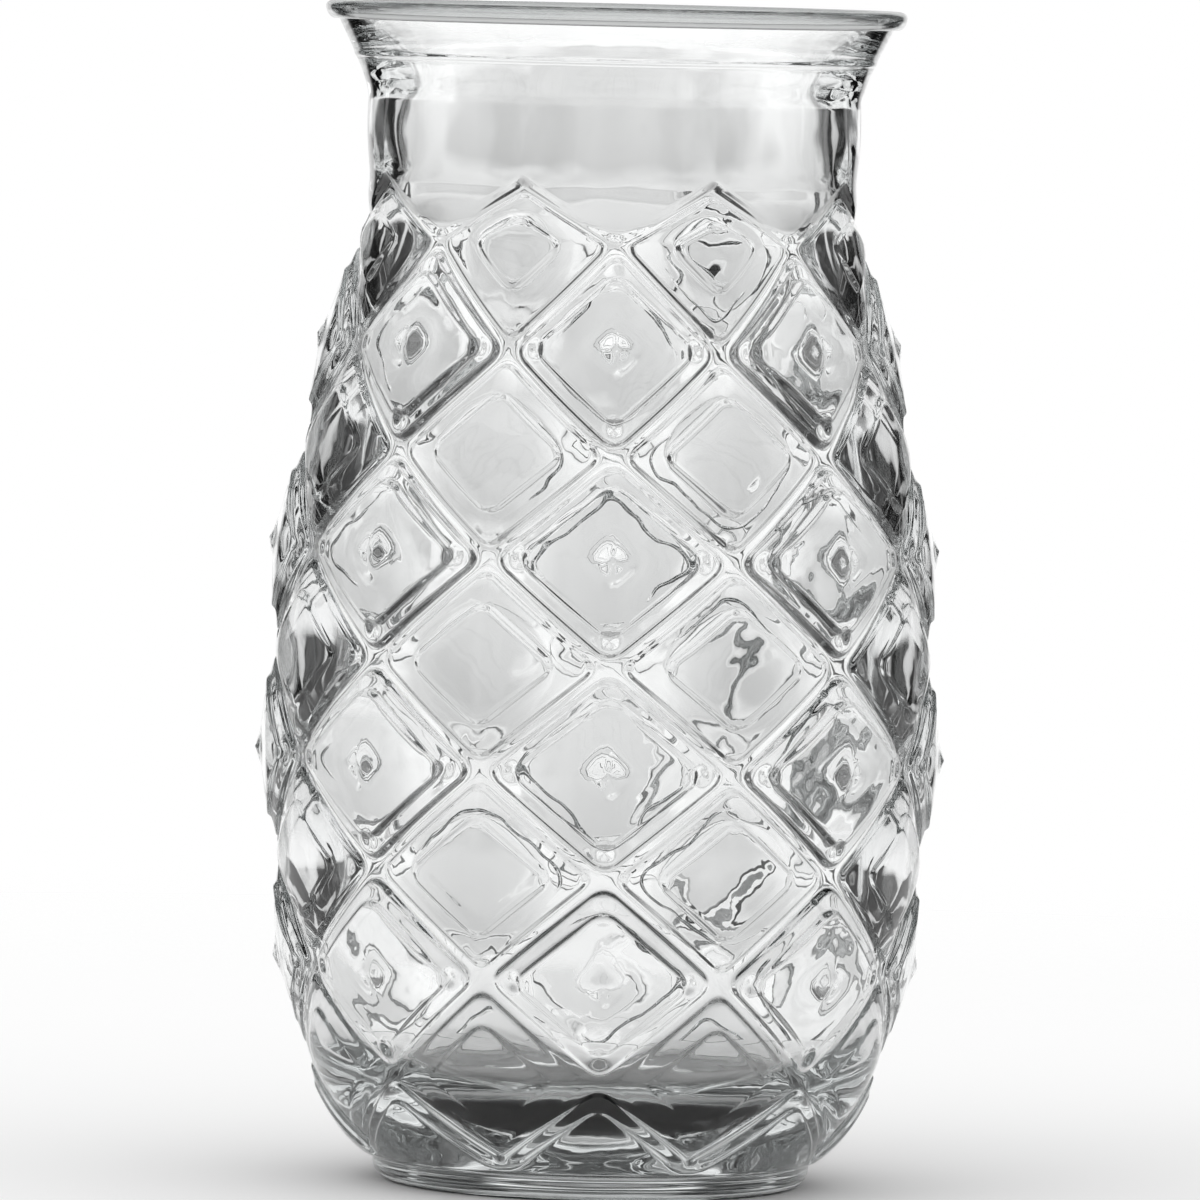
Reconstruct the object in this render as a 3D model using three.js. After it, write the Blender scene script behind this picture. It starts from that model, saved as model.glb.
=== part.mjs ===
// Pineapple glass: a tall drinking glass of clear pressed glass, moulded in one piece.
// Millimetres, +Z up, origin at the middle of the underside, front towards -Y.
// The outside is a skin of raised diamonds between a plain foot ring and a scooped, flared neck.
import * as THREE from 'three';
import { mergeVertices } from 'three/addons/utils/BufferGeometryUtils.js';

// Outline of the outside, measured over the flats of the large diamonds.
const HEIGHT = 140; // table to the top of the rim
const BELLY_RADIUS = 40.35; // widest place
const BELLY_HEIGHT = 54; // table to the widest place
const BELLY_REACH = 39; // how long the side stays full above the belly
const BELLY_ROOT = 6; // and below it
const THROAT_RADIUS = 29.3; // narrowest place, under the flare of the rim
const THROAT_DROP = 11.5; // throat below the top of the rim
const THROAT_REACH = 29.7; // how long the side stays slim below the throat
const THROAT_LEAN = 1.6; // how far it leans in over that length

// Rim: a round bead on the edge of a flared lip.
const RIM_RADIUS = 34.5; // outside of the bead
const BEAD_RADIUS = 1.1; // round section of the bead
const BEAD_START = -2.0; // angle round the bead at which the lip runs into it, radians
const FLARE_REACH = 2.5; // how long the lip stays upright above the throat
const FLARE_LEAN = 1.3; // how far the lip leans out just under the bead
const FLARE_RISE = 2.8; // height over which it does so
const PARTING_DROP = 6.5; // mould line round the flare, below the top of the rim
const PARTING_WIDTH = 0.7;
const PARTING_RISE = 0.15;

// Foot: a plain ring with a round heel and a hollow underside.
const FOOT_RADIUS = 26.0;
const FOOT_HEIGHT = 3.2;
const HEEL_ROUND = 2.0; // rounding between the ring and the table
const REST_WIDTH = 6.5; // flat ring that stands on the table
const PUSH_UP = 1.8; // hollow under the middle of the base
const FOOT_STEP = 1.3; // body above stands proud of the foot ring by this
const HEEL_OUT = 11.8; // direction in which the side leaves the foot, outward part
const HEEL_UP = 8.0; // and upward part

// Inside.
const WALL = 4.2; // at the belly, to the flats of the large diamonds
const THROAT_WALL = 3.6; // at the throat
const FLOOR = 7.5; // thickness of the base at the middle, from the table
const BOWL_HEIGHT = 20; // table to where the round bottom of the inside begins

// Pineapple skin: rows of large diamonds with smaller ones sunk between them.
const COLUMNS = 8; // large diamonds around the glass
const ROWS = 4; // rows of large diamonds
const HEEL_MARGIN = 13.4; // along the side, foot ring to the lowest large diamonds
const CROWN_MARGIN = 16.2; // along the side, highest large diamonds to the throat
const HEEL_TIP = 10.7; // reach of the lowest small diamonds below the large ones
const CROWN_TIP = 6.6; // reach of the highest small diamonds above the large ones
const GROOVE_FLOOR = 1.2; // width of the floor of the groove between diamonds
const GROOVE_DEPTH = 1.8;
const HEEL_GROOVE = 0.8; // depth of the groove round the lowest tips
const CROWN_GROOVE = 0.9; // and round the highest tips
const HEEL_FADE = 1.5; // half rows over which the groove grows shallow towards the heel
const BEVEL_WIDTH = 2.6; // sloping border of each diamond
const SMALL_DROP = 0.3; // flats of small diamonds lie lower than those of large ones
const NUB_WIDTH = 5.0; // pointed stud at the middle of each large diamond
const NUB_HEIGHT = 5.4;
const NUB_RISE = 0.85; // how proud the stud stands
const SCOOP_DEPTH = 1.6; // hollow of the neck over each column, arched at the top
const SCOOP_DIP = 0.9; // how much deeper it is just above the diamonds
const DIP_AT = 1.5; // height of the deepest place above the large diamonds, along the side
const DIP_REACH = 2.6; // and how far the dip reaches from there
const SCOOP_ARCH = 2.5; // how flat the top of the arch is
const RIDGE_RISE = 0.6; // ridges between the scoops stand proud of the outline by this
const RIDGE_LIFT = 0.35; // and by this more at their lower ends

// Side of the glass as a curve of radius and height, foot ring to throat.
const foot = new THREE.Vector2(FOOT_RADIUS + FOOT_STEP, FOOT_HEIGHT);
const belly = new THREE.Vector2(BELLY_RADIUS, BELLY_HEIGHT);
const throat = new THREE.Vector2(THROAT_RADIUS, HEIGHT - THROAT_DROP);
const lowerSide = new THREE.CubicBezierCurve(
  foot,
  new THREE.Vector2(foot.x + HEEL_OUT, foot.y + HEEL_UP),
  new THREE.Vector2(belly.x, belly.y - BELLY_ROOT),
  belly,
);
const upperSide = new THREE.CubicBezierCurve(
  belly,
  new THREE.Vector2(belly.x, belly.y + BELLY_REACH),
  new THREE.Vector2(throat.x + THROAT_LEAN, throat.y - THROAT_REACH),
  throat,
);
const side = new THREE.CurvePath();
side.add(lowerSide);
side.add(upperSide);
const sideLength = side.getLength();

// Point of the side at a distance along it from the foot ring, moved out by a relief height.
function sidePoint(along, relief) {
  const at = THREE.MathUtils.clamp(along / sideLength, 0, 1);
  const point = side.getPoint(at);
  const ahead = side.getPoint(Math.min(at + 0.001, 1));
  const behind = side.getPoint(Math.max(at - 0.001, 0));
  const run = ahead.sub(behind).normalize();
  return new THREE.Vector2(point.x + run.y * relief, point.y - run.x * relief);
}

// Lattice of the diamonds. Across, one step is half a column; upwards, one step is half a row.
// Large diamonds sit at even steps both ways, small ones at odd steps both ways.
const rowPitch = (sideLength - HEEL_MARGIN - CROWN_MARGIN) / ROWS;
const topStep = 2 * ROWS - 1;
const stepAngle = Math.PI / COLUMNS;

// Distance along the side of a lattice height; the end rows are squeezed to their own reach.
function alongSide(step) {
  if (step < -1) {
    return HEEL_MARGIN + (step + 1) * HEEL_TIP;
  }
  if (step > topStep) {
    return sideLength - CROWN_MARGIN + (step - topStep) * CROWN_TIP;
  }
  return HEEL_MARGIN + ((step + 1) * rowPitch) / 2;
}

// Side to side, a tile is cut into strips: groove floor, bevel, flat, and the same again back.
const acrossTile = BELLY_RADIUS * stepAngle;
const tileSpan = (acrossTile * rowPitch) / Math.hypot(acrossTile, rowPitch / 2);
const kerb = GROOVE_FLOOR / 2 / tileSpan;
const lip = kerb + BEVEL_WIDTH / tileSpan;
const cuts = [0, kerb, lip, 0.5, 1 - lip, 1 - kerb, 1];
const last = cuts.length - 1;

// Rise from the floor of a groove, 0, up the bevel to the flat beside it, 1.
function bevel(distance) {
  return THREE.MathUtils.clamp((distance - kerb) / (lip - kerb), 0, 1);
}

// Depth of the groove at a lattice height; it runs shallower towards both ends of the pattern.
function grooveDepth(step) {
  const heel = THREE.MathUtils.clamp((step + 1) / HEEL_FADE, 0, 1);
  const crown = THREE.MathUtils.clamp(step - topStep, 0, 1);
  const depth = THREE.MathUtils.lerp(HEEL_GROOVE, GROOVE_DEPTH, heel);
  return depth + (CROWN_GROOVE - GROOVE_DEPTH) * crown;
}

const lowestTile = alongSide(-2);
const highestTile = alongSide(topStep + 1);

// Relief of the neck: a scoop over each column, -1 to 1 aside, and a ridge between neighbours.
function neckRelief(aside, along) {
  const rise = THREE.MathUtils.clamp((along - highestTile) / (sideLength - highestTile), 0, 1);
  const above = along - (sideLength - CROWN_MARGIN);
  const depth = SCOOP_DEPTH + SCOOP_DIP * Math.exp(-(((above - DIP_AT) / DIP_REACH) ** 2));
  const hollow = depth * Math.max(0, 1 - aside * aside - rise ** SCOOP_ARCH);
  const crest = RIDGE_RISE * 4 * rise * (1 - rise) + RIDGE_LIFT * (1 - rise ** SCOOP_ARCH);
  return crest - hollow;
}

const corners = [];

function addTriangle(a, b, c) {
  const closed = a.distanceTo(b) < 1e-6 || b.distanceTo(c) < 1e-6 || c.distanceTo(a) < 1e-6;
  if (!closed) {
    corners.push(a, b, c);
  }
}

function addQuad(a, b, c, d, splitFromA) {
  if (splitFromA) {
    addTriangle(a, b, c);
    addTriangle(a, c, d);
  } else {
    addTriangle(a, b, d);
    addTriangle(b, c, d);
  }
}

// Point in space from a lattice place across and a point of the section.
function spin(across, point) {
  const angle = across * stepAngle;
  return new THREE.Vector3(point.x * Math.sin(angle), -point.x * Math.cos(angle), point.y);
}

// Relief of each kind of tile at a place (u, v) between its lower and upper sides.
const relief = {
  large(u, v, depth) {
    return depth * (bevel(Math.min(u, 1 - u, v, 1 - v)) - 1);
  },
  small(u, v, depth) {
    return (depth - SMALL_DROP) * bevel(Math.min(u, 1 - u, v, 1 - v)) - depth;
  },
  neckPanel(u, v, depth, along) {
    return (depth + neckRelief(u - v, along)) * bevel(Math.min(u, v)) - depth;
  },
  footPanel(u, v, depth) {
    return depth * (bevel(Math.min(1 - u, 1 - v)) - 1);
  },
};

// Stud of a large diamond: a four-sided point with a rounded top, set in the middle of the flat.
function addNub(across, up, rim) {
  const along = alongSide(up);
  const radius = sidePoint(along, 0).x;
  const point = (dx, dy, scale, rise) => spin(
    across + (dx * scale * NUB_WIDTH) / 2 / (radius * stepAngle),
    sidePoint(along + (dy * scale * NUB_HEIGHT) / 2, rise),
  );
  const ways = [[0, -1], [1, 0], [0, 1], [-1, 0]];
  const base = ways.map(([dx, dy]) => point(dx, dy, 1, 0));
  const brow = ways.map(([dx, dy]) => point(dx, dy, 0.45, NUB_RISE * 0.75));
  const top = point(0, 0, 0, NUB_RISE);
  for (let k = 0; k < 4; k += 1) {
    const next = (k + 1) % 4;
    const corner = rim[2 * k];
    const middle = rim[2 * k + 1];
    const nextCorner = rim[(2 * k + 2) % 8];
    addTriangle(corner, middle, base[k]);
    addTriangle(middle, nextCorner, base[next]);
    addTriangle(middle, base[next], base[k]);
    addQuad(base[k], base[next], brow[next], brow[k], true);
    addTriangle(brow[k], brow[next], top);
  }
}

// One diamond tile, or the upper or lower half of one where the pattern runs out.
function addTile(kind, across, up, half) {
  const grid = cuts.map((u) => cuts.map((v) => {
    const step = up + u + v - 1;
    const along = alongSide(step);
    return spin(across + u - v, sidePoint(along, relief[kind](u, v, grooveDepth(step), along)));
  }));
  for (let i = 0; i < last; i += 1) {
    for (let j = 0; j < last; j += 1) {
      const a = grid[i][j];
      const b = grid[i + 1][j];
      const c = grid[i + 1][j + 1];
      const d = grid[i][j + 1];
      const middle = kind === 'large' && (i === 2 || i === 3) && (j === 2 || j === 3);
      const below = i + j < last - 1;
      const above = i + j > last - 1;
      if (half === 'lower' && !below) {
        if (!above) {
          addTriangle(a, b, d);
        }
      } else if (half === 'upper' && !above) {
        if (!below) {
          addTriangle(b, c, d);
        }
      } else if (!middle) {
        addQuad(a, b, c, d, i < last / 2 === j < last / 2);
      }
    }
  }
  if (kind === 'large') {
    addNub(across, up, [
      grid[2][2], grid[3][2], grid[4][2], grid[4][3],
      grid[4][4], grid[3][4], grid[2][4], grid[2][3],
    ]);
  }
}

for (let column = 0; column < COLUMNS; column += 1) {
  for (let row = 0; row < ROWS; row += 1) {
    addTile('large', 2 * column, 2 * row);
  }
  for (let row = 0; row <= ROWS; row += 1) {
    addTile('small', 2 * column + 1, 2 * row - 1);
  }
  addTile('neckPanel', 2 * column, topStep + 1, 'lower');
  addTile('footPanel', 2 * column, -2, 'upper');
}

// Plain stretches: rings of points from one stop of the section to the next.
// A stop is a point of the section, or a function of the share of the way across a column.
// Rings meet the tiles at the tiles' own cuts, and are evenly spaced everywhere else.
function addRings(stops, atTiles) {
  const share = (k, i) => (k === atTiles ? cuts[i] : i / last);
  const place = (k, column, i) => {
    const stop = stops[k];
    const across = 2 * column + 2 * share(k, i) - 1;
    return spin(across, typeof stop === 'function' ? stop(share(k, i)) : stop);
  };
  for (let k = 0; k + 1 < stops.length; k += 1) {
    for (let column = 0; column < COLUMNS; column += 1) {
      for (let i = 0; i < last; i += 1) {
        addQuad(
          place(k, column, i),
          place(k, column, i + 1),
          place(k + 1, column, i + 1),
          place(k + 1, column, i),
          i >= last / 2,
        );
      }
    }
  }
}

// Stop at the ends of the pattern: between the columns, the grooves run out at the small tips.
function tipStop(along, depth, level) {
  return (share) => {
    const rise = bevel(Math.min(share, 1 - share));
    return sidePoint(along, (depth + level(share)) * rise - depth);
  };
}

// Underside and foot ring, from the middle of the base up to the lowest tiles.
const restOuter = FOOT_RADIUS - HEEL_ROUND;
const restInner = restOuter - REST_WIDTH;
const hollow = new THREE.QuadraticBezierCurve(
  new THREE.Vector2(0, PUSH_UP),
  new THREE.Vector2(restInner / 2, PUSH_UP),
  new THREE.Vector2(restInner, 0),
);
const heel = new THREE.EllipseCurve(
  restOuter, HEEL_ROUND, HEEL_ROUND, HEEL_ROUND, -Math.PI / 2, 0, false,
);
const under = [
  ...hollow.getPoints(4),
  ...heel.getPoints(4),
  new THREE.Vector2(FOOT_RADIUS, FOOT_HEIGHT - FOOT_STEP / 2),
  sidePoint(0, 0),
  sidePoint(lowestTile * 0.6, 0),
  tipStop(lowestTile, HEEL_GROOVE, () => 0),
];
addRings(under, under.length - 1);

// Neck with its scoops, flared lip with the mould line, and the bead.
const neck = [0.18, 0.36, 0.54, 0.72, 0.88].map((rise) => (share) => {
  const along = THREE.MathUtils.lerp(highestTile, sideLength, rise);
  return sidePoint(along, neckRelief(2 * share - 1, along));
});
const bead = new THREE.EllipseCurve(
  RIM_RADIUS - BEAD_RADIUS, HEIGHT - BEAD_RADIUS, BEAD_RADIUS, BEAD_RADIUS,
  BEAD_START, Math.PI, false,
);
const beadPoints = bead.getPoints(9);
const underBead = beadPoints[0];
const flare = new THREE.CubicBezierCurve(
  throat,
  new THREE.Vector2(throat.x, throat.y + FLARE_REACH),
  new THREE.Vector2(underBead.x - FLARE_LEAN, underBead.y - FLARE_RISE),
  underBead,
);
const partingShare = (THROAT_DROP - PARTING_DROP) / (underBead.y - throat.y);
const partingHalf = PARTING_WIDTH / 2 / flare.getLength();
const partingTop = flare.getPointAt(partingShare);
partingTop.x += PARTING_RISE;
const lipPoints = [
  throat,
  flare.getPointAt(partingShare / 2),
  flare.getPointAt(partingShare - partingHalf),
  partingTop,
  flare.getPointAt(partingShare + partingHalf),
  flare.getPointAt((partingShare + 1) / 2),
];

// Inside wall: the side moved in by the wall, which thins evenly from the belly to the throat.
const bellyAlong = lowerSide.getLength();
function insidePoint(along) {
  const share = THREE.MathUtils.clamp((along - bellyAlong) / (sideLength - bellyAlong), 0, 1);
  return sidePoint(along, -THREE.MathUtils.lerp(WALL, THROAT_WALL, share));
}

const insideLip = beadPoints[beadPoints.length - 1];
const insideThroat = insidePoint(sideLength);
const insideFlare = new THREE.CubicBezierCurve(
  insideLip,
  new THREE.Vector2(insideLip.x - FLARE_LEAN, insideLip.y - FLARE_RISE),
  new THREE.Vector2(insideThroat.x, insideThroat.y + FLARE_REACH),
  insideThroat,
);

// Distance along the side at which the inside wall comes down to the round bottom, found by halving.
let belowBowl = 0;
let bowlAlong = sideLength;
for (let k = 0; k < 40; k += 1) {
  const middle = (belowBowl + bowlAlong) / 2;
  if (insidePoint(middle).y < BOWL_HEIGHT) {
    belowBowl = middle;
  } else {
    bowlAlong = middle;
  }
}
const insideSteps = Math.ceil((sideLength - bowlAlong) / (rowPitch / 2));
const inside = [];
for (let k = 1; k <= insideSteps; k += 1) {
  inside.push(insidePoint(THREE.MathUtils.lerp(sideLength, bowlAlong, k / insideSteps)));
}
const bowlTop = inside[inside.length - 1];
const bowl = new THREE.CubicBezierCurve(
  bowlTop,
  new THREE.Vector2(bowlTop.x - 1.5, (bowlTop.y + FLOOR) / 2),
  new THREE.Vector2(bowlTop.x * 0.75, FLOOR),
  new THREE.Vector2(0, FLOOR),
);
addRings([
  tipStop(highestTile, CROWN_GROOVE, (share) => neckRelief(2 * share - 1, highestTile)),
  ...neck,
  ...lipPoints,
  ...beadPoints,
  ...insideFlare.getPoints(4).slice(1),
  ...inside,
  ...bowl.getPoints(8).slice(1),
], 0);

const skin = new THREE.BufferGeometry().setFromPoints(corners);
const glassGeometry = mergeVertices(skin, 1e-4);
glassGeometry.computeVertexNormals();

const glass = new THREE.Mesh(
  glassGeometry,
  new THREE.MeshStandardMaterial({ color: 0xdfe8e8, roughness: 0.05, metalness: 0 }),
);
glass.name = 'glass_body';

const pineappleGlass = new THREE.Group();
pineappleGlass.name = 'pineapple_glass';
pineappleGlass.add(glass);

export default pineappleGlass;
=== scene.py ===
# Pineapple glass: the dressed model, its material, the light and the camera.
# The glass is worked out in millimetres, in the frame of the solid, and scaled to metres at the end.
import math

import bpy
import numpy as np
from mathutils import Matrix, Vector


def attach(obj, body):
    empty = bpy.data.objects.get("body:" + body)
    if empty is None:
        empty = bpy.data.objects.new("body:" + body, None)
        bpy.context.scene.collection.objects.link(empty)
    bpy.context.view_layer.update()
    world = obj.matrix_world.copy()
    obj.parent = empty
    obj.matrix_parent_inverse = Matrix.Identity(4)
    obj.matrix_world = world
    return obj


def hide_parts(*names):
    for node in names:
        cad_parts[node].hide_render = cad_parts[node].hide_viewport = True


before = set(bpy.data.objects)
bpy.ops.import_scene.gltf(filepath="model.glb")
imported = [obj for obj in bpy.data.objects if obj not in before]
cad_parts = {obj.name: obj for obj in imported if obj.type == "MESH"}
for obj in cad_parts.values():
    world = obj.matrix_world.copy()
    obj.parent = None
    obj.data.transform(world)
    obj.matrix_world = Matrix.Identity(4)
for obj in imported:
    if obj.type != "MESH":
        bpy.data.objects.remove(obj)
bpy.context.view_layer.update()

MM = 0.001

# Outline, foot, rim and inside, as in the solid.
HEIGHT = 140.0
BELLY_RADIUS, BELLY_HEIGHT = 40.35, 54.0
BELLY_REACH, BELLY_ROOT = 39.0, 6.0
THROAT_RADIUS, THROAT_DROP = 29.3, 11.5
THROAT_REACH, THROAT_LEAN = 29.7, 1.6
RIM_RADIUS, BEAD_RADIUS, BEAD_START = 34.5, 1.1, -2.0
FLARE_REACH, FLARE_LEAN, FLARE_RISE = 2.5, 1.3, 2.8
PARTING_DROP, PARTING_WIDTH, PARTING_RISE = 6.5, 0.7, 0.15
FOOT_RADIUS, FOOT_HEIGHT, HEEL_ROUND = 26.0, 3.2, 2.0
REST_WIDTH, PUSH_UP, FOOT_STEP = 6.5, 1.8, 1.3
HEEL_OUT, HEEL_UP = 11.8, 8.0
WALL, THROAT_WALL, FLOOR, BOWL_HEIGHT = 4.2, 3.6, 7.5, 20.0

# Pineapple skin: the lattice is the solid's, and the relief is close to it.
COLUMNS, ROWS = 8, 4
HEEL_MARGIN, CROWN_MARGIN = 13.4, 16.2
HEEL_TIP, CROWN_TIP = 10.7, 6.6
GROOVE_DEPTH = 2.0
SMALL_DROP = 0.3  # flats of small diamonds lie lower than those of large ones
NUB_WIDTH, NUB_HEIGHT, NUB_RISE = 5.6, 5.4, 0.75  # stud at the middle of a large diamond
NUB_POINT, NUB_FALL, NUB_BEND = 1.1, 2.2, 1.7  # how pointed its star is, and how its flanks fall off
HEEL_GROOVE, CROWN_GROOVE = 0.8, 1.7  # depth of the grooves at the lowest and highest tips
HEEL_FADE = 1.5  # half rows over which the grooves grow shallow towards the heel
SCOOP_DIP, DIP_AT, DIP_REACH = 0.9, 1.5, 2.6  # scoops of the neck are deeper just above the diamonds

# What the moulded glass has beyond the solid: rounded edges and a softly uneven surface.
LARGE_KERB, LARGE_LIP = 0.020, 0.140  # bevel of a large diamond, from its edge, as shares of a tile
SMALL_KERB, SMALL_LIP = 0.040, 0.212  # and of a small one, which leaves the groove on its side
CROWN_LIP = 0.284  # the highest small ones are smaller, and their bevels take more of the tile
NECK_LIP = 0.085  # the neck meets the highest grooves with a narrow bevel
EDGE_ROUND = 0.005  # softness of bevel edges, as a share of a tile
FLOOR_ROUND = 0.012  # and of the bottom of the grooves
SHOULDER_WIDTH = 0.018  # narrow steep step where a bevel meets the flat, and where it meets the groove
FLAT_SHOULDER, GROOVE_SHOULDER = 0.24, 0.36  # share of the rise that these steps take
LARGE_ROUND, SMALL_ROUND = 0.12, 0.10  # rounding of the corners of the diamonds, as shares of a tile
BEAD_LOW = 1.35  # lower half of the bead is this much taller than a round one
# Heights on the neck run from 0 at the tips of the diamonds to 1 at the throat.
NECK_WAIST, WAIST_FADE, WAIST_BEND = 1.25, 0.45, 1.5  # neck lies below the outline at the tips
RIDGE_RISE, RIDGE_AT, RIDGE_REACH = 0.5, 0.15, 0.6  # ridge between two scoops, above their middles
ARCH_TOP, ARCH_BEND, ARCH_LEAST = 1.35, 2.5, 0.15  # arch of a scoop: top, roundness, least width
ARCH_SOFT, ARCH_SOFTER = 0.1, 0.15  # rounding of its edge at the tips, and how that grows upwards
EYE_AT, EYE_RADIUS, EYE_DEPTH = 0.14, 1.4, 0.40  # round dimple at three corners of a large diamond
FLAT_CROWN, CROWN_REACH, CROWN_MOST = 0.30, 1.5, 1.3  # flats are pillowed: their borders lie lower
INSIDE_SWELL = -0.25  # the wall is thicker behind the flats, so the inside bulges in there
SWELL_LOW, SWELL_HIGH = 12.0, 14.0  # lengths over which this fades out at the bowl and at the throat
INSIDE_WAVE = 0.07  # unevenness of the inside
WAVE_LOW, WAVE_HIGH = 6.0, 5.0  # lengths over which it fades out
OUTSIDE_WAVE = 0.02  # unevenness of the outside
COLLAR_HEIGHT, COLLAR_STEP = 120.5, 0.05  # faint uneven line inside the neck
COLLAR_WANDER, COLLAR_SOFT, COLLAR_HIGH = 0.9, 0.7, 4.0
BOWL_LEAN, BOWL_FLAT = 1.5, 0.75  # how the inside rounds into its floor
STEP_BEND = ((0.0, 0.4), (0.15, 0.25))  # how the foot ring runs into the step above it
PARTING_SOFT = 0.4  # rounding of the mould line, as a share of its width

RING_POINTS = 192  # points round the plain rings
UNDER_RINGS, REST_RINGS, HEEL_RINGS, SIDE_RINGS = 13, 5, 9, 9
NECK_RINGS, FLARE_RINGS, BEAD_RINGS = 34, 60, 26
INSIDE_FLARE_RINGS, INSIDE_NECK_RINGS, WALL_RINGS, BOWL_RINGS = 22, 44, 96, 46
INSIDE_NECK = 14.0  # length below the throat with closer rings
SIDE_FINE, LINE_FINE, INSIDE_FINE, TABLE_FINE = 3000, 800, 400, 600  # steps in which curves are measured
SAME_PLACE, PLACE_DIGITS = 1e-4, 5  # places on the lattice that count as one
TINY = 1e-9

# Waves: how many, their turns round the glass, and their lengths up it, least and most.
INSIDE_WAVES = (28, (3, 26), (9.0, 42.0))
OUTSIDE_WAVES = (20, (6, 40), (7.0, 26.0))
COLLAR_WAVES = (8, (5, 40), (400.0, 900.0))
SEED = 11

# Places across a tile, from its edge to its middle, closer together where the relief bends.
HALF_CUTS = [
    0, 0.010, 0.020, 0.030, 0.040, 0.050, 0.062, 0.080, 0.100, 0.114, 0.124, 0.132, 0.140, 0.150, 0.170,
    0.190, 0.202, 0.212, 0.222, 0.245, 0.270, 0.284, 0.298, 0.340, 0.390, 0.430, 0.465, 0.5,
]
CUTS = np.array(HALF_CUTS + [1 - c for c in HALF_CUTS[-2::-1]])
LAST = len(CUTS) - 1


def bezier(points, count):
    p = [np.array(q, float) for q in points]
    t = np.linspace(0, 1, count)[:, None]
    return (1 - t) ** 3 * p[0] + 3 * (1 - t) ** 2 * t * p[1] + 3 * (1 - t) * t**2 * p[2] + t**3 * p[3]


def even(points, count):
    """The same line as count points at even distances."""
    step = np.r_[0, np.cumsum(np.hypot(*np.diff(points, axis=0).T))]
    at = np.linspace(0, step[-1], count)
    return np.stack([np.interp(at, step, points[:, k]) for k in (0, 1)], axis=1)


# Side of the glass, foot ring to throat, with its length and outward direction.
foot = (FOOT_RADIUS + FOOT_STEP, FOOT_HEIGHT)
belly = (BELLY_RADIUS, BELLY_HEIGHT)
throat = (THROAT_RADIUS, HEIGHT - THROAT_DROP)
lower_side = bezier([
    foot, (foot[0] + HEEL_OUT, foot[1] + HEEL_UP), (belly[0], belly[1] - BELLY_ROOT), belly,
], SIDE_FINE)
upper_side = bezier([
    belly, (belly[0], belly[1] + BELLY_REACH),
    (throat[0] + THROAT_LEAN, throat[1] - THROAT_REACH), throat,
], SIDE_FINE)
side = np.r_[lower_side, upper_side[1:]]
side_at = np.r_[0, np.cumsum(np.hypot(*np.diff(side, axis=0).T))]
side_length = side_at[-1]
belly_along = side_at[len(lower_side) - 1]
side_run = np.gradient(side, side_at, axis=0)
side_run /= np.hypot(*side_run.T)[:, None]


def side_point(along, relief):
    """Radius and height at a distance along the side, moved out by a relief height."""
    r, z, dr, dz = (
        np.interp(along, side_at, v) for v in (side[:, 0], side[:, 1], side_run[:, 0], side_run[:, 1])
    )
    return r + dz * relief, z - dr * relief


# Lattice of the diamonds: half a column across and half a row upwards to a step.
step_angle = math.pi / COLUMNS
row_pitch = (side_length - HEEL_MARGIN - CROWN_MARGIN) / ROWS
top_step = 2 * ROWS - 1
around = 2 * COLUMNS
tile_across = BELLY_RADIUS * step_angle


def along_side(step):
    main = HEEL_MARGIN + (step + 1) * row_pitch / 2
    heel = HEEL_MARGIN + (step + 1) * HEEL_TIP
    crown = side_length - CROWN_MARGIN + (step - top_step) * CROWN_TIP
    return np.where(step < -1, heel, np.where(step > top_step, crown, main))


lowest = float(along_side(np.array(-2.0)))
highest = float(along_side(np.array(top_step + 1.0)))


def soft(x, width):
    """Zero below zero and x above it, with a rounded bend."""
    return 0.5 * (x + np.sqrt(x * x + width * width))


def bevel(distance, kerb=LARGE_KERB, lip=LARGE_LIP):
    """Rise from the floor of a groove, 0, to the flat beside it, 1."""
    def ramp(start, end, width):
        return (soft(distance - start, width) - soft(distance - end, width)) / (end - start)

    slope = ramp(kerb, lip, FLOOR_ROUND)
    top = ramp(lip - SHOULDER_WIDTH, lip, EDGE_ROUND)
    bottom = ramp(kerb, kerb + SHOULDER_WIDTH, EDGE_ROUND)
    return (1 - FLAT_SHOULDER - GROOVE_SHOULDER) * slope + FLAT_SHOULDER * top + GROOVE_SHOULDER * bottom


def nearest(a, b, rounding):
    """The smaller of two distances, rounded where they are alike."""
    mix = np.maximum(rounding - np.abs(a - b), 0) / rounding
    return np.minimum(a, b) - mix * mix * rounding / 4


def ease(x):
    x = np.clip(x, 0, 1)
    return x * x * (3 - 2 * x)


def groove_depth(up):
    """Grooves run shallower towards the tips at both ends of the pattern."""
    heel = np.clip((up + 1.0) / HEEL_FADE, 0, 1)
    crown = np.clip(up - top_step, 0, 1)
    depth = HEEL_GROOVE + (GROOVE_DEPTH - HEEL_GROOVE) * heel
    return depth + (CROWN_GROOVE - GROOVE_DEPTH) * crown


def neck_relief(aside, along):
    """Scoops with arched tops, and the ridges between them, over the plain outline."""
    rise = (along - highest) / (side_length - highest)
    over = np.maximum(rise, 0)
    above = along - (side_length - CROWN_MARGIN)
    waist = -NECK_WAIST * np.exp(-((over / WAIST_FADE) ** WAIST_BEND))
    dip = -SCOOP_DIP * np.exp(-(((above - DIP_AT) / DIP_REACH) ** 2))
    crest = RIDGE_RISE * np.exp(-(((rise - RIDGE_AT) / RIDGE_REACH) ** 2))
    width = np.maximum(1 - (over / ARCH_TOP) ** ARCH_BEND, ARCH_LEAST)
    share = 1 - soft(1 - aside * aside / width, ARCH_SOFT + ARCH_SOFTER * over)
    return waist + dip * (1 - share) + crest * share


def aside_of(across):
    """Place across a column of large diamonds, -1 to 1."""
    return np.mod(across + 1, 2) - 1


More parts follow.
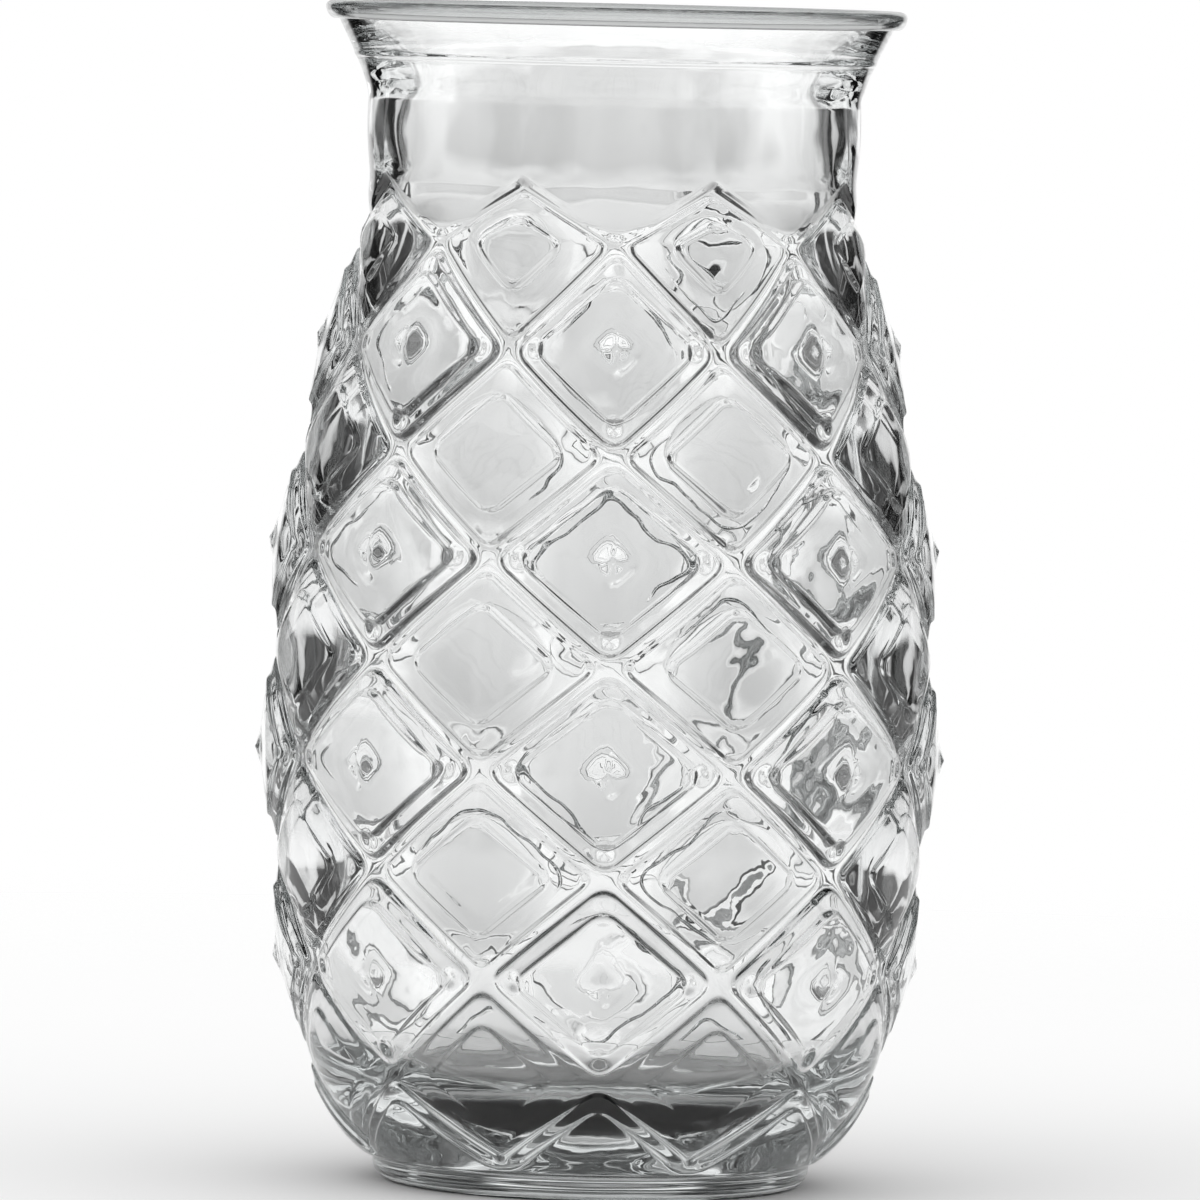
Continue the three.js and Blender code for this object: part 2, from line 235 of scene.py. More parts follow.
def nub(across, along, middle_along):
    """Stud: a low four-pointed star with a rounded top."""
    radius = side_point(middle_along, 0)[0]
    x = np.abs(across) * radius * step_angle / (NUB_WIDTH / 2)
    y = np.abs(along - middle_along) / (NUB_HEIGHT / 2)
    reach = (x**NUB_POINT + y**NUB_POINT + TINY) ** (1 / NUB_POINT)
    return NUB_RISE * np.exp(-NUB_FALL * reach**NUB_BEND)


# Soft seeded unevenness over the angle and the height.
rng = np.random.default_rng(SEED)


def make_waves(count, across, tall):
    """Seeded turns, phases, lengths, shifts and weights."""
    return [
        (int(rng.integers(*across)), rng.uniform(0, 2 * math.pi), rng.uniform(*tall),
         rng.uniform(0, 2 * math.pi), rng.normal())
        for _ in range(count)
    ]


def waves(table, angle, height):
    total = np.zeros(np.broadcast(angle, height).shape)
    for turns, phase, length, shift, weight in table:
        total += weight * np.cos(turns * angle + phase) * np.cos(2 * math.pi * height / length + shift)
    return total / math.sqrt(len(table))


inside_waves = make_waves(*INSIDE_WAVES)
outside_waves = make_waves(*OUTSIDE_WAVES)
collar_waves = make_waves(*COLLAR_WAVES)


# Mesh, collected as points, quads and triangles.
points, quads, triangles = [], [], []
point_count = 0


def add_points(across, radius, height):
    global point_count
    angle = across * step_angle
    xyz = np.stack([radius * np.sin(angle), -radius * np.cos(angle), height + 0 * angle], axis=-1)
    xyz = xyz.reshape(-1, 3)
    points.append(xyz)
    first = point_count
    point_count += len(xyz)
    return np.arange(first, point_count)


def pillow(u, v):
    """How far a flat has fallen off towards its border."""
    reach = ((2 * u - 1) ** 2 + (2 * v - 1) ** 2) / (1 - 2 * SMALL_LIP) ** 2 / CROWN_REACH
    return FLAT_CROWN * np.minimum(reach, CROWN_MOST)


def eyes(u, v):
    """Dimples at the lower and side corners of a large diamond."""
    total = np.zeros(u.shape)
    for at_u, at_v in ((EYE_AT, EYE_AT), (EYE_AT, 1 - EYE_AT), (1 - EYE_AT, EYE_AT)):
        x = (u - at_u - v + at_v) * tile_across
        y = (u - at_u + v - at_v) * row_pitch / 2
        total += np.maximum(1 - (x * x + y * y) / EYE_RADIUS**2, 0) ** 2
    return EYE_DEPTH * total


def tile_relief(kind, u, v, up, along):
    """Height of a tile over the outline: large, small, or a half one at the neck or the foot."""
    rounding = SMALL_ROUND if kind == "small" else LARGE_ROUND
    edge = nearest(np.minimum(u, 1 - u), np.minimum(v, 1 - v), rounding)
    depth = groove_depth(up + u + v - 1)
    if kind == "large":
        middle = float(along_side(np.array(float(up))))
        return (depth - pillow(u, v)) * bevel(edge) - depth + nub(u - v, along, middle) - eyes(u, v)
    if kind == "small":
        lip = CROWN_LIP if up == top_step else SMALL_LIP
        return (depth - SMALL_DROP - pillow(u, v)) * bevel(edge, SMALL_KERB, lip) - depth
    if kind == "neck":
        rise = bevel(nearest(u, v, rounding), LARGE_KERB, NECK_LIP)
        return (depth + neck_relief(u - v, along)) * rise - depth
    return depth * (bevel(nearest(1 - u, 1 - v, rounding)) - 1)


# Tiles share the points of their edges, which are known by their place on the lattice.
lattice_points = {}
tile_places = []


def add_tile(kind, across, up):
    """A patch of points and faces for one tile, in place on the lattice."""
    u, v = np.meshgrid(CUTS, CUTS, indexing="ij")
    a, b = across + u - v, up + u + v - 1
    keep = np.ones(u.shape, bool)
    i, j = np.meshgrid(np.arange(LAST + 1), np.arange(LAST + 1), indexing="ij")
    if kind == "neck":
        keep = i + j <= LAST
    if kind == "foot":
        keep = i + j >= LAST
    along = along_side(b)
    relief = tile_relief(kind, u, v, up, along)
    index = np.full(u.shape, -1)
    for place in zip(*np.nonzero(keep)):
        key = (
            round(float(a[place]) % around, PLACE_DIGITS) % around,
            round(float(b[place]), PLACE_DIGITS),
        )
        if key not in lattice_points:
            lattice_points[key] = len(tile_places)
            tile_places.append((key[0], key[1], float(along[place]), float(relief[place])))
        index[place] = lattice_points[key]
    corners = np.stack([index[:-1, :-1], index[1:, :-1], index[1:, 1:], index[:-1, 1:]], axis=-1)
    corners = corners.reshape(-1, 4)
    whole = (corners >= 0).all(axis=1)
    quads.extend(corners[whole].tolist())
    for corner in corners[~whole & ((corners >= 0).sum(axis=1) == 3)]:
        triangles.append([int(c) for c in corner if c >= 0])


for column in range(COLUMNS):
    for row in range(ROWS):
        add_tile("large", 2 * column, 2 * row)
    for row in range(ROWS + 1):
        add_tile("small", 2 * column + 1, 2 * row - 1)
    add_tile("neck", 2 * column, top_step + 1)
    add_tile("foot", 2 * column, -2)

tile_across_at, tile_up, tile_along, tile_rise = np.array(tile_places).T
tile_rise = tile_rise + OUTSIDE_WAVE * waves(outside_waves, tile_across_at * step_angle, tile_along)
add_points(tile_across_at, *side_point(tile_along, tile_rise))


def tile_loop(step):
    """The points at the top or bottom edge of the pattern, in order, with their places."""
    found = np.nonzero(np.abs(tile_up - step) < SAME_PLACE)[0]
    found = found[np.argsort(tile_across_at[found])]
    return found, tile_across_at[found]


def zip_loops(lower, lower_at, upper, upper_at):
    """Triangles between two closed loops with different places round the glass."""
    i = j = 0
    n, m = len(lower), len(upper)
    low, high = np.r_[lower_at, lower_at[0] + around], np.r_[upper_at, upper_at[0] + around]
    while i < n or j < m:
        if j == m or (i < n and low[i + 1] <= high[j + 1]):
            triangles.append([lower[i], lower[(i + 1) % n], upper[j % m]])
            i += 1
        else:
            triangles.append([lower[i % n], upper[(j + 1) % m], upper[j]])
            j += 1


ring_at = np.arange(RING_POINTS) * around / RING_POINTS
ring_angle = ring_at * step_angle


def add_ring(radius, height, at=ring_at):
    return add_points(at, np.broadcast_to(radius, at.shape), np.broadcast_to(height, at.shape))


def join_rings(lower, upper):
    nxt = np.roll(np.arange(len(lower)), -1)
    quads.extend(np.stack([lower, lower[nxt], upper[nxt], upper], axis=1).tolist())


def join_all(rings):
    for lower, upper in zip(rings, rings[1:]):
        join_rings(lower, upper)


def close(ring, tip_height, ring_is_lower):
    """Fan of triangles from a ring to a point on the axis."""
    tip = int(add_points(np.zeros(1), np.zeros(1), np.full(1, tip_height))[0])
    for k in range(RING_POINTS):
        a, b = int(ring[k]), int(ring[(k + 1) % RING_POINTS])
        triangles.append([a, b, tip] if ring_is_lower else [tip, b, a])


def tip_distance(across, away, along, reach):
    """Distance from the zigzag edge of the pattern, beyond its tips, as a share of a tile."""
    a = side_point(along, 0)[0] * step_angle
    x = (1 - np.abs(aside_of(across))) * a
    slope = np.hypot(a, reach)
    beside = x * a / slope - away * reach / slope
    distance = np.where(beside >= 0, x * reach / slope + away * a / slope, np.hypot(x, away))
    return distance / (2 * a * reach / slope)


# Underside and foot ring, then the plain part of the side below the pattern.
rest_outer = FOOT_RADIUS - HEEL_ROUND
rest_inner = rest_outer - REST_WIDTH
t = np.linspace(0, 1, UNDER_RINGS)[1:]
hollow = np.stack([
    2 * (1 - t) * t * rest_inner / 2 + t * t * rest_inner,
    (1 - t) ** 2 * PUSH_UP + 2 * (1 - t) * t * PUSH_UP,
], axis=1)
turn = np.linspace(-math.pi / 2, 0, HEEL_RINGS)
heel_line = np.stack([
    rest_outer + HEEL_ROUND * np.cos(turn), HEEL_ROUND + HEEL_ROUND * np.sin(turn),
], axis=1)
step_top = side_point(0.0, 0.0)
step_line = bezier([
    (FOOT_RADIUS, HEEL_ROUND),
    *((FOOT_RADIUS + out, FOOT_HEIGHT - down) for out, down in STEP_BEND),
    step_top,
], HEEL_RINGS)[1:]
rest = np.linspace(rest_inner, rest_outer, REST_RINGS)[1:-1]
rest_line = np.stack([rest, np.zeros(len(rest))], axis=1)
under = np.r_[hollow, rest_line, heel_line, step_line]
rings = [add_ring(r, z) for r, z in under]
close(rings[0], PUSH_UP, False)
join_all(rings)
loop, loop_at = tile_loop(-2)
heel_rings = []
for along in np.linspace(0, lowest, SIDE_RINGS)[1:-1]:
    far = tip_distance(loop_at, lowest - along, along, HEEL_TIP)
    relief = HEEL_GROOVE * (bevel(far) - 1) * ease(along / lowest)
    relief = relief + OUTSIDE_WAVE * waves(outside_waves, loop_at * step_angle, along)
    heel_rings.append(add_ring(*side_point(along, relief), loop_at))
zip_loops(rings[-1], ring_at, heel_rings[0], loop_at)
join_all(heel_rings + [loop])

# Neck with its scoops.
loop, loop_at = tile_loop(top_step + 1)
neck_rings = [loop]
for along in np.linspace(highest, side_length, NECK_RINGS)[1:]:
    far = tip_distance(loop_at, along - highest, along, CROWN_TIP)
    rise = bevel(far, LARGE_KERB, NECK_LIP)
    relief = (CROWN_GROOVE + neck_relief(aside_of(loop_at), along)) * rise - CROWN_GROOVE
    relief = relief + OUTSIDE_WAVE * waves(outside_waves, loop_at * step_angle, along)
    neck_rings.append(add_ring(*side_point(along, relief), loop_at))
join_all(neck_rings)

# Flared lip with the mould line, then the bead.
bead_turn = np.linspace(BEAD_START, math.pi, BEAD_RINGS)
bead_rise = np.where(bead_turn < 0, BEAD_LOW, 2 - BEAD_LOW) * np.sin(bead_turn)
bead = np.stack([
    RIM_RADIUS - BEAD_RADIUS + BEAD_RADIUS * np.cos(bead_turn),
    HEIGHT + BEAD_RADIUS * (bead_rise - (2 - BEAD_LOW)),
], axis=1)
under_bead, inside_lip = bead[0], bead[-1]
flare = even(bezier([
    throat, (throat[0], throat[1] + FLARE_REACH),
    (under_bead[0] - FLARE_LEAN, under_bead[1] - FLARE_RISE), under_bead,
], LINE_FINE), FLARE_RINGS)
parting_height = np.interp(
    (THROAT_DROP - PARTING_DROP) / (under_bead[1] - throat[1]), np.linspace(0, 1, FLARE_RINGS), flare[:, 1],
)
off_parting = (flare[:, 1] - parting_height) / (PARTING_WIDTH * PARTING_SOFT)
flare[:, 0] += PARTING_RISE * np.exp(-(off_parting**2))
flare_along = side_length + np.r_[0, np.cumsum(np.hypot(*np.diff(flare, axis=0).T))]
rings = [
    add_ring(r + neck_relief(aside_of(ring_at), along), z)
    for (r, z), along in zip(flare[1:-1], flare_along[1:-1])
]
bead_rings = [add_ring(r, z) for r, z in bead]
rings += bead_rings
zip_loops(neck_rings[-1], loop_at, rings[0], ring_at)

# Inside: flare, wall and bowl.
inside_throat = side_point(side_length, -THROAT_WALL)
inside_flare = even(bezier([
    inside_lip, (inside_lip[0] - FLARE_LEAN, inside_lip[1] - FLARE_RISE),
    (inside_throat[0], inside_throat[1] + FLARE_REACH), inside_throat,
], INSIDE_FINE), INSIDE_FLARE_RINGS)
for r, z in inside_flare[1:]:
    rings.append(add_ring(r, z))


def wall_at(along):
    """Thickness of the wall, which thins from the belly to the throat."""
    share = np.clip((along - belly_along) / (side_length - belly_along), 0, 1)
    return WALL + (THROAT_WALL - WALL) * share


bowl_along = float(np.interp(BOWL_HEIGHT, side_point(side_at, -wall_at(side_at))[1], side_at))
up_table = np.linspace(-2, top_step + 1, TABLE_FINE)
along_table = along_side(up_table)


def inside_relief(along, height):
    """How far the inside wall swells outwards, over a ring."""
    up = np.interp(along, along_table, up_table)
    fade = ease((along - bowl_along) / SWELL_LOW) * ease((side_length - along) / SWELL_HIGH)
    swell = INSIDE_SWELL * np.cos(math.pi * ring_at) * math.cos(math.pi * up) * fade
    wave = INSIDE_WAVE * waves(inside_waves, ring_angle, along) * ease((along - bowl_along) / WAVE_LOW)
    wave = wave * ease((side_length - along) / WAVE_HIGH)
    collar = COLLAR_HEIGHT + COLLAR_WANDER * waves(collar_waves, ring_angle, 0.0)
    step = COLLAR_STEP * ease((collar - height) / COLLAR_SOFT + 0.5)
    return swell + wave + step * ease((side_length - along) / COLLAR_HIGH)


wall_stops = np.r_[
    np.linspace(side_length, side_length - INSIDE_NECK, INSIDE_NECK_RINGS)[1:],
    np.linspace(side_length - INSIDE_NECK, bowl_along, WALL_RINGS)[1:],
]
wall_ring_first = len(rings)
for along in wall_stops:
    height = float(side_point(along, -wall_at(along))[1])
    rings.append(add_ring(*side_point(along, -wall_at(along) + inside_relief(along, height))))
wall_ring_last = len(rings) - 1
bowl_top = side_point(bowl_along, -wall_at(bowl_along))
bowl = even(bezier([
    bowl_top, (bowl_top[0] - BOWL_LEAN, (bowl_top[1] + FLOOR) / 2),
    (bowl_top[0] * BOWL_FLAT, FLOOR), (0, FLOOR),
], LINE_FINE), BOWL_RINGS)
for r, z in bowl[1:-1]:
    rings.append(add_ring(r, z))
join_all(rings)
close(rings[-1], FLOOR, True)

wall_first, wall_last = int(rings[wall_ring_first][0]), int(rings[wall_ring_last][-1])

# One mesh, with three values at each point: folds, place on the lattice, and the bead, where shade is
# painted into the colour.
FOLD_FADE = 0.8  # folds fade out towards the neck over this many steps of the lattice
mesh = bpy.data.meshes.new("glass_body_fine")
all_points = np.concatenate(points) * MM
mesh.from_pydata(all_points.tolist(), [], [list(map(int, f)) for f in quads + triangles])
mesh.validate()
mesh.shade_smooth()
fold = np.zeros(len(all_points), np.float32)
lattice_up = np.zeros(len(all_points), np.float32)
wall_up = np.interp(wall_stops, along_table, up_table)
fold[wall_first:wall_last + 1] = np.repeat(ease((top_step - wall_up) / FOLD_FADE), RING_POINTS)
lattice_up[wall_first:wall_last + 1] = np.repeat(wall_up, RING_POINTS)
# Painted shade: marks the points of the bead, where the glass colour is darkened.
painted_bead_shade = np.zeros(len(all_points), np.float32)
painted_bead_shade[np.concatenate(bead_rings)] = 1.0
for name, values in (("fold", fold), ("lattice_up", lattice_up), ("painted_bead_shade", painted_bead_shade)):
    mesh.attributes.new(name, "FLOAT", "POINT").data.foreach_set("value", values)
glass = bpy.data.objects.new("pineapple_glass", mesh)
bpy.context.collection.objects.link(glass)
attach(glass, "root")
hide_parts("glass_body")


# Node helpers.
def node(tree, kind, **values):
    made = tree.nodes.new(kind)
    for name, value in values.items():
        setattr(made, name, value)
    return made


def math_node(tree, operation, a, b=None):
    made = node(tree, "ShaderNodeMath", operation=operation)
    for socket, value in zip(made.inputs, (a, b)):
        if value is None:
            continue
        if isinstance(value, (int, float)):
            socket.default_value = value
        else:
            tree.links.new(value, socket)
    return made.outputs[0]


# Clear glass: almost colourless, with faint cords of slightly denser glass, a fire-polished surface, and
# painted shade at the bead.
GLASS_IOR = 1.52
CORD_TINT, CLEAR_TINT = (0.968, 0.972, 0.971, 1), (0.990, 0.993, 0.992, 1)
BEAD_PAINTED_SHADE = (0.52, 0.53, 0.53, 1)  # painted shade: multiplies the others at the bead, to darken it
CORD_SCALE, CORD_DETAIL, CORD_FROM, CORD_TO = 55.0, 3.0, 0.3, 0.7
MOST_ROUGH = 0.02  # where the cords are densest
RIPPLE_SCALE, RIPPLE_DETAIL, RIPPLE_STRENGTH, RIPPLE_HEIGHT = 260.0, 1.0, 0.06, 0.0004
FOLD_AT, FOLD_WIDTH, FOLD_WANDER, FOLD_ROUND = 0.155, 0.011, 0.25, 0.20  # as shares of a tile
WANDER_SCALE, WANDER_DETAIL = 120.0, 2.0
PATCH_SCALE, PATCH_FROM, PATCH_TO = 42.0, 0.50, 0.58  # patches that have folds
FOLD_HEIGHT = 0.00045
FRACT_LIFT = 40.0  # whole steps that keep places on the lattice above zero
DEEP_COLOUR, DEEP_DENSITY = (0.80, 0.84, 0.84, 1), 12.0  # what the glass swallows over its depth
clear = bpy.data.materials.new("clear_glass")
clear.use_nodes = True
tree = clear.node_tree
shader = tree.nodes["Principled BSDF"]
shader.inputs["Transmission Weight"].default_value = 1.0
shader.inputs["IOR"].default_value = GLASS_IOR
place = node(tree, "ShaderNodeTexCoord")
cords = node(tree, "ShaderNodeTexNoise")
cords.inputs["Scale"].default_value = CORD_SCALE
cords.inputs["Detail"].default_value = CORD_DETAIL
tree.links.new(place.outputs["Object"], cords.inputs["Vector"])
tint = node(tree, "ShaderNodeValToRGB")
tint.color_ramp.elements[0].position = CORD_FROM
tint.color_ramp.elements[0].color = CORD_TINT
tint.color_ramp.elements[1].position = CORD_TO
tint.color_ramp.elements[1].color = CLEAR_TINT
tree.links.new(cords.outputs["Fac"], tint.inputs["Fac"])
# Painted shade at the bead: the glass colour is multiplied down there.
rim = node(tree, "ShaderNodeAttribute", attribute_name="painted_bead_shade")
cords_and_bead_shade = node(tree, "ShaderNodeMix", data_type="RGBA", blend_type="MULTIPLY")
tree.links.new(rim.outputs["Fac"], cords_and_bead_shade.inputs["Factor"])
tree.links.new(tint.outputs["Color"], cords_and_bead_shade.inputs[6])
cords_and_bead_shade.inputs[7].default_value = BEAD_PAINTED_SHADE
tree.links.new(cords_and_bead_shade.outputs[2], shader.inputs["Base Color"])
polish = node(tree, "ShaderNodeMapRange")
polish.inputs["To Min"].default_value = 0.0
polish.inputs["To Max"].default_value = MOST_ROUGH
tree.links.new(cords.outputs["Fac"], polish.inputs["Value"])
tree.links.new(polish.outputs["Result"], shader.inputs["Roughness"])
ripple = node(tree, "ShaderNodeTexNoise")
ripple.inputs["Scale"].default_value = RIPPLE_SCALE
ripple.inputs["Detail"].default_value = RIPPLE_DETAIL
tree.links.new(place.outputs["Object"], ripple.inputs["Vector"])
bump = node(tree, "ShaderNodeBump")
bump.inputs["Strength"].default_value = RIPPLE_STRENGTH
bump.inputs["Distance"].default_value = RIPPLE_HEIGHT
tree.links.new(ripple.outputs["Fac"], bump.inputs["Height"])
# Thin folds on the inside that wander along the borders of the diamonds.
spot = node(tree, "ShaderNodeSeparateXYZ")
tree.links.new(place.outputs["Object"], spot.inputs[0])
turned = math_node(tree, "ARCTAN2", spot.outputs["X"], math_node(tree, "MULTIPLY", spot.outputs["Y"], -1.0))
across_at = math_node(tree, "DIVIDE", turned, step_angle)
up_at = node(tree, "ShaderNodeAttribute", attribute_name="lattice_up").outputs["Fac"]
wander = node(tree, "ShaderNodeTexNoise")
wander.inputs["Scale"].default_value = WANDER_SCALE
wander.inputs["Detail"].default_value = WANDER_DETAIL
tree.links.new(place.outputs["Object"], wander.inputs["Vector"])
stray = math_node(tree, "MULTIPLY", math_node(tree, "SUBTRACT", wander.outputs["Fac"], 0.5), FOLD_WANDER)


def border_distance(sign):
    """Distance to the nearest lattice line that leans one way."""
    place_on = math_node(tree, "MULTIPLY", math_node(
        tree, "ADD", up_at, math_node(tree, "MULTIPLY", across_at, sign)), 0.5)
    share = math_node(tree, "FRACT", math_node(tree, "ADD", place_on, 0.5 + FRACT_LIFT))
    off_middle = math_node(tree, "ABSOLUTE", math_node(tree, "SUBTRACT", share, 0.5))
    return math_node(tree, "SUBTRACT", 0.5, off_middle)


rounded = math_node(tree, "SMOOTH_MIN", border_distance(1.0), border_distance(-1.0))
rounded.node.inputs[2].default_value = FOLD_ROUND
border = math_node(tree, "ADD", rounded, stray)
off_line = math_node(tree, "ABSOLUTE", math_node(tree, "SUBTRACT", border, FOLD_AT))
line = node(tree, "ShaderNodeMapRange", interpolation_type="SMOOTHSTEP")
line.inputs["From Min"].default_value = 0.0
line.inputs["From Max"].default_value = FOLD_WIDTH
line.inputs["To Min"].default_value = 1.0
line.inputs["To Max"].default_value = 0.0
tree.links.new(off_line, line.inputs["Value"])
patch = node(tree, "ShaderNodeTexNoise")
patch.inputs["Scale"].default_value = PATCH_SCALE
tree.links.new(place.outputs["Object"], patch.inputs["Vector"])
gate = node(tree, "ShaderNodeMapRange", interpolation_type="SMOOTHSTEP")
gate.inputs["From Min"].default_value = PATCH_FROM
gate.inputs["From Max"].default_value = PATCH_TO
tree.links.new(patch.outputs["Fac"], gate.inputs["Value"])
inner = node(tree, "ShaderNodeAttribute", attribute_name="fold")
broken = math_node(tree, "MULTIPLY", line.outputs["Result"], gate.outputs["Result"])
height = math_node(tree, "MULTIPLY", broken, inner.outputs["Fac"])
folds = node(tree, "ShaderNodeBump")
folds.inputs["Strength"].default_value = 1.0
folds.inputs["Distance"].default_value = FOLD_HEIGHT
tree.links.new(height, folds.inputs["Height"])
tree.links.new(bump.outputs["Normal"], folds.inputs["Normal"])
tree.links.new(folds.outputs["Normal"], shader.inputs["Normal"])
depth = node(tree, "ShaderNodeVolumeAbsorption")
depth.inputs["Color"].default_value = DEEP_COLOUR
depth.inputs["Density"].default_value = DEEP_DENSITY
tree.links.new(depth.outputs["Volume"], tree.nodes["Material Output"].inputs["Volume"])
mesh.materials.append(clear)

# Floor: plain, pale, and fading out to the white surround.
FLOOR_REACH, FLOOR_FADE, FLOOR_DROP, FLOOR_POINTS = 0.50, 0.26, 0.0001, 96
FLOOR_COLOUR, FLOOR_ROUGH = (0.95, 0.95, 0.95, 1), 0.9
bpy.ops.mesh.primitive_circle_add(
    vertices=FLOOR_POINTS, radius=FLOOR_REACH, fill_type="NGON", location=(0, 0, -FLOOR_DROP),
)
ground = bpy.context.object
ground.name = "floor"
paper = bpy.data.materials.new("floor_paper")
paper.use_nodes = True
tree = paper.node_tree
matt = tree.nodes["Principled BSDF"]
matt.inputs["Base Color"].default_value = FLOOR_COLOUR
matt.inputs["Roughness"].default_value = FLOOR_ROUGH
matt.inputs["Specular IOR Level"].default_value = 0.0
spot = node(tree, "ShaderNodeTexCoord")
out = node(tree, "ShaderNodeVectorMath", operation="LENGTH")
tree.links.new(spot.outputs["Object"], out.inputs[0])
fade = node(tree, "ShaderNodeMapRange", interpolation_type="SMOOTHSTEP")
fade.inputs["From Min"].default_value = FLOOR_FADE
fade.inputs["From Max"].default_value = FLOOR_REACH
tree.links.new(out.outputs["Value"], fade.inputs["Value"])
see = node(tree, "ShaderNodeBsdfTransparent")
mix = node(tree, "ShaderNodeMixShader")
tree.links.new(fade.outputs["Result"], mix.inputs["Fac"])
tree.links.new(matt.outputs["BSDF"], mix.inputs[1])
tree.links.new(see.outputs["BSDF"], mix.inputs[2])
tree.links.new(mix.outputs["Shader"], tree.nodes["Material Output"].inputs["Surface"])
ground.data.materials.append(paper)

# Studio: white to the camera; glass sees a ring of soft boxes, bright low down and dimmer above.
BOX_COUNT = 4.0
BOX_LEVEL, BOX_DIM = 1.15, 0.31  # brightness of a soft box, and how much its middle is dimmed
HORIZON = 0.25  # how far the dimmed middles reach above and below the horizon
# Grey levels as (place, level): round each box from the gap to its middle, from below to above, ...
BOX_STOPS = [
    (0.0, 0.70), (0.002, 0.70), (0.008, 0.03), (0.05, 0.02), (0.42, 0.02), (0.50, 0.12),
    (0.64, 1.0), (1.0, 1.0),
]
LEVEL_STOPS = [
    (0.0, 0.5), (0.2, 0.8), (0.33, 1.0), (0.47, 0.98), (0.52, 0.90), (0.58, 0.78), (0.64, 0.66),
    (0.71, 0.42), (0.79, 0.18), (0.88, 0.08), (1.0, 0.05),
]
# ... from the camera's side to the far side, and for the dimmed middles round each box and up it.
FACING_STOPS = [(0.0, 0.60), (0.4, 0.58), (0.6, 0.58), (0.80, 1.0), (1.0, 1.0)]
MIDDLE_STOPS = [(0.93, 0.0), (0.975, 0.8), (1.0, 1.0)]
HORIZON_STOPS = [(0.16, 0.0), (0.26, 1.0), (0.70, 1.0), (0.80, 0.0)]
world = bpy.data.worlds.new("studio")
bpy.context.scene.world = world
world.use_nodes = True
world.cycles.sampling_method = "NONE"  # rays out of the glass reach it without aimed samples
tree = world.node_tree
tree.nodes.clear()
way = node(tree, "ShaderNodeTexCoord")
axis = node(tree, "ShaderNodeSeparateXYZ")
tree.links.new(way.outputs["Generated"], axis.inputs[0])
bearing = math_node(tree, "ARCTAN2", axis.outputs["X"], axis.outputs["Y"])
beat = math_node(tree, "COSINE", math_node(tree, "MULTIPLY", bearing, BOX_COUNT))


def grey_ramp(tree, value, low, high, stops):
    """A grey level read off a list of (place, level), for a value between low and high."""
    fit = node(tree, "ShaderNodeMapRange")
    fit.inputs["From Min"].default_value = low
    fit.inputs["From Max"].default_value = high
    tree.links.new(value, fit.inputs["Value"])
    ramp = node(tree, "ShaderNodeValToRGB")
    while len(ramp.color_ramp.elements) < len(stops):
        ramp.color_ramp.elements.new(0.5)
    for element, (place_at, grey) in zip(ramp.color_ramp.elements, stops):
        element.position = place_at
        element.color = (grey, grey, grey, 1)
    tree.links.new(fit.outputs["Result"], ramp.inputs["Fac"])
    return ramp.outputs["Color"]


boxes = grey_ramp(tree, beat, -1.0, 1.0, BOX_STOPS)
level = grey_ramp(tree, axis.outputs["Z"], -1.0, 1.0, LEVEL_STOPS)
facing = grey_ramp(tree, math_node(tree, "COSINE", bearing), -1.0, 1.0, FACING_STOPS)
# Each box is dimmer at its middle, near the horizon.
middle = grey_ramp(tree, beat, -1.0, 1.0, MIDDLE_STOPS)
horizon = grey_ramp(tree, axis.outputs["Z"], -HORIZON, HORIZON, HORIZON_STOPS)
dim = math_node(tree, "MULTIPLY", math_node(tree, "MULTIPLY", middle, horizon), BOX_DIM)
lit = math_node(tree, "MULTIPLY", math_node(tree, "SUBTRACT", 1.0, dim), BOX_LEVEL)
ring = math_node(tree, "MULTIPLY", level, boxes)
studio = math_node(tree, "MULTIPLY", ring, math_node(tree, "MULTIPLY", facing, lit))
path = node(tree, "ShaderNodeLightPath")
through = math_node(tree, "MAXIMUM", path.outputs["Is Glossy Ray"], path.outputs["Is Transmission Ray"])
strength = node(tree, "ShaderNodeMix", data_type="FLOAT")
tree.links.new(through, strength.inputs["Factor"])
strength.inputs["A"].default_value = 1.0
tree.links.new(studio, strength.inputs["B"])
shine = node(tree, "ShaderNodeBackground")
shine.inputs["Color"].default_value = (1, 1, 1, 1)
tree.links.new(strength.outputs["Result"], shine.inputs["Strength"])
sky = node(tree, "ShaderNodeOutputWorld")
tree.links.new(shine.outputs["Background"], sky.inputs["Surface"])

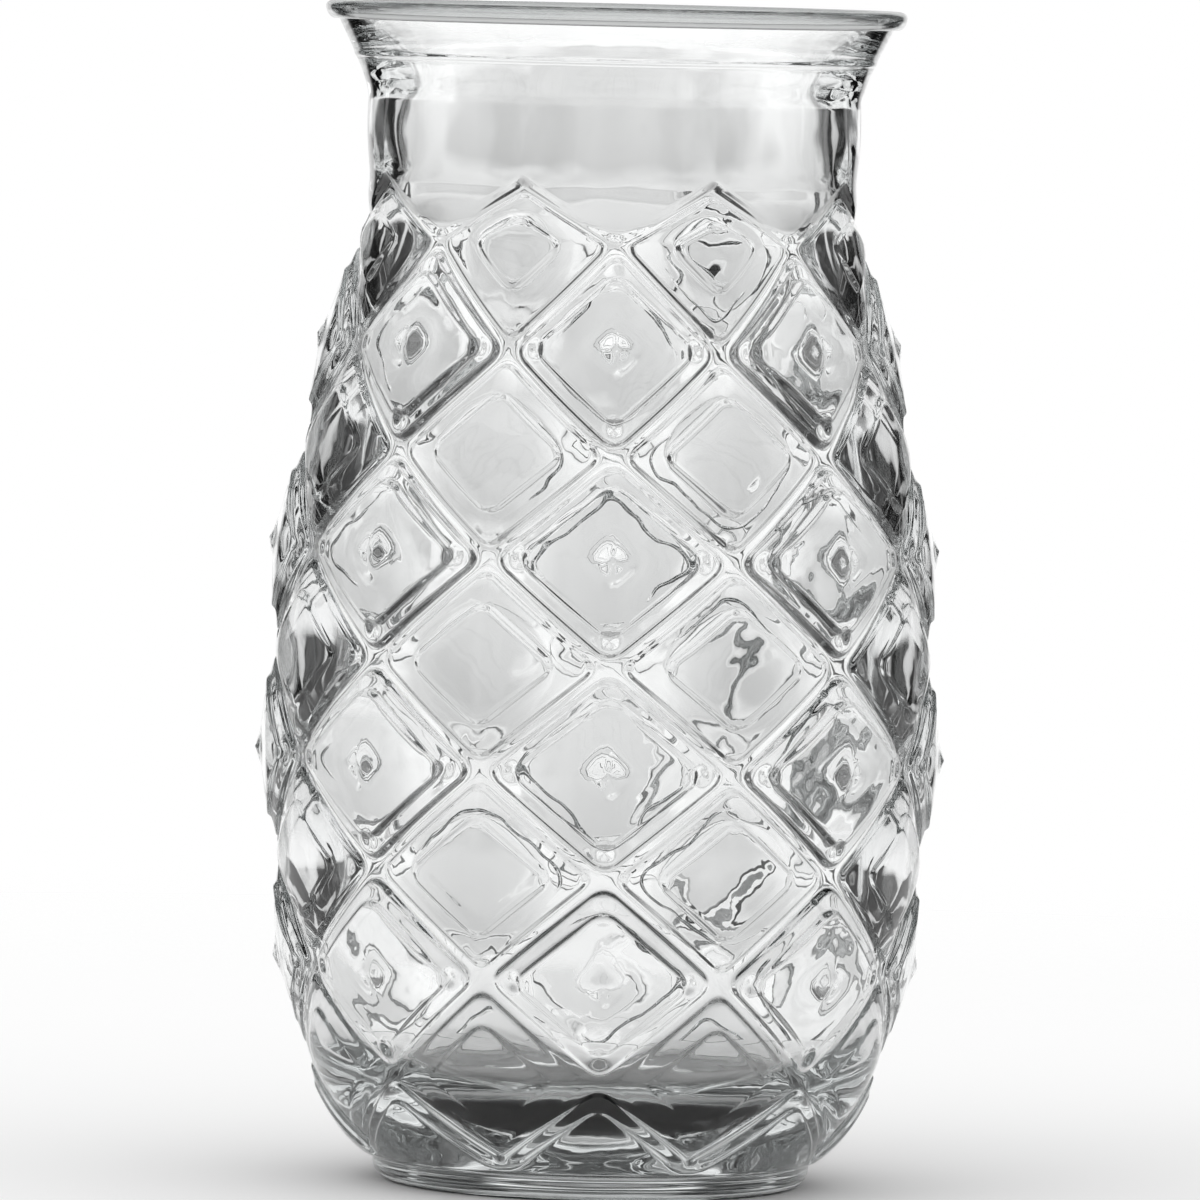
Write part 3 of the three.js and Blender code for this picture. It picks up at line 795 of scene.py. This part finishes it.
# One large soft lamp, high at the left.
LAMP_SIZE, LAMP_POWER = 0.9, 2.0
LAMP_AT, LAMP_AIM = Vector((-0.8, -0.7, 1.1)), Vector((0, 0, 0.07))
lamp_data = bpy.data.lights.new("soft_box", "AREA")
lamp_data.shape = "RECTANGLE"
lamp_data.size, lamp_data.size_y = LAMP_SIZE, LAMP_SIZE
lamp_data.energy = LAMP_POWER
lamp = bpy.data.objects.new("soft_box", lamp_data)
lamp.location = LAMP_AT
lamp.rotation_euler = (LAMP_AIM - lamp.location).to_track_quat("-Z", "Y").to_euler()
bpy.context.collection.objects.link(lamp)

# Camera: far off with a long lens, a little above the rim, tipped as in the photograph.
CAMERA_AWAY, CAMERA_HEIGHT, CAMERA_BEARING, CAMERA_ROLL = 1.5, 0.152, -1.3, 1.33
FRAME_WIDTH = 0.1428  # width that the frame takes in at the glass
SENSOR_WIDTH = 36.0
AIM = Vector((-0.0004, 0, 0.0693))
camera_data = bpy.data.cameras.new("camera")
camera = bpy.data.objects.new("camera", camera_data)
bearing_angle = math.radians(CAMERA_BEARING)
camera.location = (
    CAMERA_AWAY * math.sin(bearing_angle), -CAMERA_AWAY * math.cos(bearing_angle), CAMERA_HEIGHT,
)
look = AIM - Vector(camera.location)
camera_data.sensor_width = SENSOR_WIDTH
camera_data.lens = SENSOR_WIDTH * look.length / FRAME_WIDTH
turn_to = look.to_track_quat("-Z", "Y").to_matrix().to_4x4()
camera.matrix_world = (
    Matrix.Translation(camera.location) @ turn_to @ Matrix.Rotation(math.radians(CAMERA_ROLL), 4, "Z")
)
bpy.context.collection.objects.link(camera)
bpy.context.scene.camera = camera

# Many bounces, because light crosses several walls; light focused by the glass is left out.
THROUGH_BOUNCES, GLOSSY_BOUNCES = 20, 12
scene = bpy.context.scene
scene.view_settings.view_transform = "Standard"
scene.cycles.max_bounces = THROUGH_BOUNCES
scene.cycles.transmission_bounces = THROUGH_BOUNCES
scene.cycles.glossy_bounces = GLOSSY_BOUNCES
scene.cycles.caustics_reflective = False
scene.cycles.caustics_refractive = False
